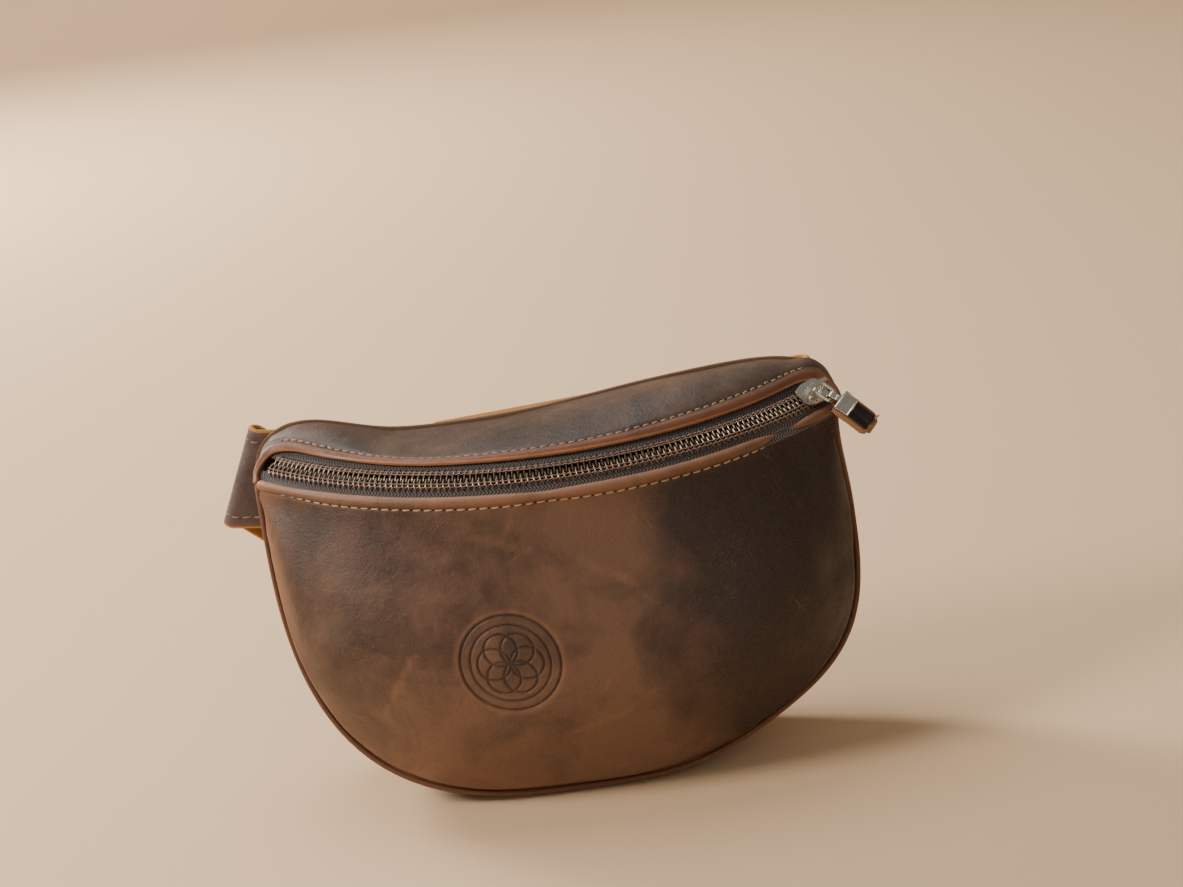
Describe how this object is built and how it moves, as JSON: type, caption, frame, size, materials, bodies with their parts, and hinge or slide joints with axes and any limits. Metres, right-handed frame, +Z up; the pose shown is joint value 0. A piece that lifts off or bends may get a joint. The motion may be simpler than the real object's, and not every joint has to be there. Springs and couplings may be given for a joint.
{
  "type": "waist pack",
  "caption": "Half-moon leather waist pack with a curved zipper over a bulging front, a lifting top panel, a hanging zipper pull and a folded belt with a prong buckle.",
  "frame": {"origin": "on the ground, in the middle of the pack's width, under the two zipper ends", "axes": "+X towards the slider's closed end, the viewer's right; -Y towards the front; +Z up"},
  "size_m": [0.2412, 0.09, 0.137],
  "materials": {
    "body_leather": "waxed pull-up, mottled",
    "strap_leather": "smooth waxed",
    "lining": "plain woven",
    "zipper_tape": "herringbone weave",
    "zipper_coil": "antique metallic coating",
    "nickel": "polished",
    "buckle_metal": "antique"
  },
  "bodies": {
    "pack": {"front_panel": "body_leather", "bottom_gusset": "body_leather", "back_panel": "body_leather", "lining_front": "lining", "lining_gusset": "lining", "lining_back": "lining", "lower_tape": "zipper_tape", "lower_coil": "zipper_coil", "upper_tape_left_end": "zipper_tape", "upper_tape_right_end": "zipper_tape", "upper_coil_left_end": "zipper_coil", "upper_coil_right_end": "zipper_coil", "left_wing": "strap_leather", "right_wing": "strap_leather"},
    "lid": {"top_panel": "body_leather", "upper_tape": "zipper_tape", "upper_coil": "zipper_coil"},
    "slider": {"slider_body": "nickel"},
    "link": {"pull_link": "nickel"},
    "pull": {"pull_ferrule": "nickel", "pull_tab": "strap_leather"},
    "left_belt": {"left_strap": "strap_leather"},
    "keeper": {"belt_keeper": "strap_leather"},
    "frame": {"buckle_frame": "buckle_metal"},
    "prong": {"buckle_prong": "buckle_metal"},
    "right_belt_1": {"right_strap_1": "strap_leather"},
    "right_belt_2": {"right_strap_2": "strap_leather"},
    "right_belt_3": {"right_strap_3": "strap_leather"},
    "right_belt_4": {"right_strap_4": "strap_leather"}
  },
  "joints": [
    {"name": "zipper_slide", "type": "hinge", "parent": "pack", "child": "slider", "pos_m": [0, 0.115, 0.1398], "axis": [0, -0.1219, 0.9925], "range_deg": [-79.4, 0]},
    {"name": "top_panel_lift", "type": "hinge", "parent": "pack", "child": "lid", "pos_m": [0, 0.0148, 0.137], "axis": [-1, 0, 0], "range_deg": [0, 40]},
    {"name": "pull_link_swing", "type": "hinge", "parent": "slider", "child": "link", "pos_m": [0.09903, -0.00149, 0.13031], "axis": [-0.6294, -0.6547, -0.4186], "range_deg": [0, 12]},
    {"name": "pull_tab_swing", "type": "hinge", "parent": "link", "child": "pull", "pos_m": [0.10361, -0.00328, 0.12623], "axis": [-0.6294, -0.6547, -0.4186], "range_deg": [0, 100]},
    {"name": "left_belt_unfold", "type": "hinge", "parent": "pack", "child": "left_belt", "pos_m": [-0.114, 0.0226, 0.118], "axis": [0.4067, 0, 0.9135], "range_deg": [0, 180]},
    {"name": "keeper_slide", "type": "slide", "parent": "left_belt", "child": "keeper", "axis": [0.7547, 0, -0.6561], "range_m": [-0.03, 0.012]},
    {"name": "buckle_swing", "type": "hinge", "parent": "left_belt", "child": "frame", "pos_m": [-0.04759, 0.029, 0.06027], "axis": [0.6561, 0, 0.7547], "range_deg": [-8, 50]},
    {"name": "prong_lift", "type": "hinge", "parent": "frame", "child": "prong", "pos_m": [-0.04759, 0.029, 0.06027], "axis": [0.6561, 0, 0.7547], "range_deg": [0, 80]},
    {"name": "right_belt_unfold", "type": "hinge", "parent": "pack", "child": "right_belt_1", "pos_m": [0.098, 0.0226, 0.114], "axis": [0.0523, 0, -0.9986], "range_deg": [0, 179]},
    {"name": "right_belt_fold_2", "type": "hinge", "parent": "right_belt_1", "child": "right_belt_2", "pos_m": [-0.03981, 0.0273, 0.10678], "axis": [0.0523, 0, -0.9986], "range_deg": [-179, 0]},
    {"name": "right_belt_fold_3", "type": "hinge", "parent": "right_belt_2", "child": "right_belt_3", "pos_m": [0.098, 0.0307, 0.114], "axis": [0.0523, 0, -0.9986], "range_deg": [0, 179]},
    {"name": "right_belt_fold_4", "type": "hinge", "parent": "right_belt_3", "child": "right_belt_4", "pos_m": [-0.03981, 0.0341, 0.10678], "axis": [0.0523, 0, -0.9986], "range_deg": [-179, 0]}
  ],
  "couplings": [
    {"joint": "right_belt_fold_2", "follows": "right_belt_unfold", "ratio": -1},
    {"joint": "right_belt_fold_3", "follows": "right_belt_unfold", "ratio": 1},
    {"joint": "right_belt_fold_4", "follows": "right_belt_unfold", "ratio": -1}
  ]
}
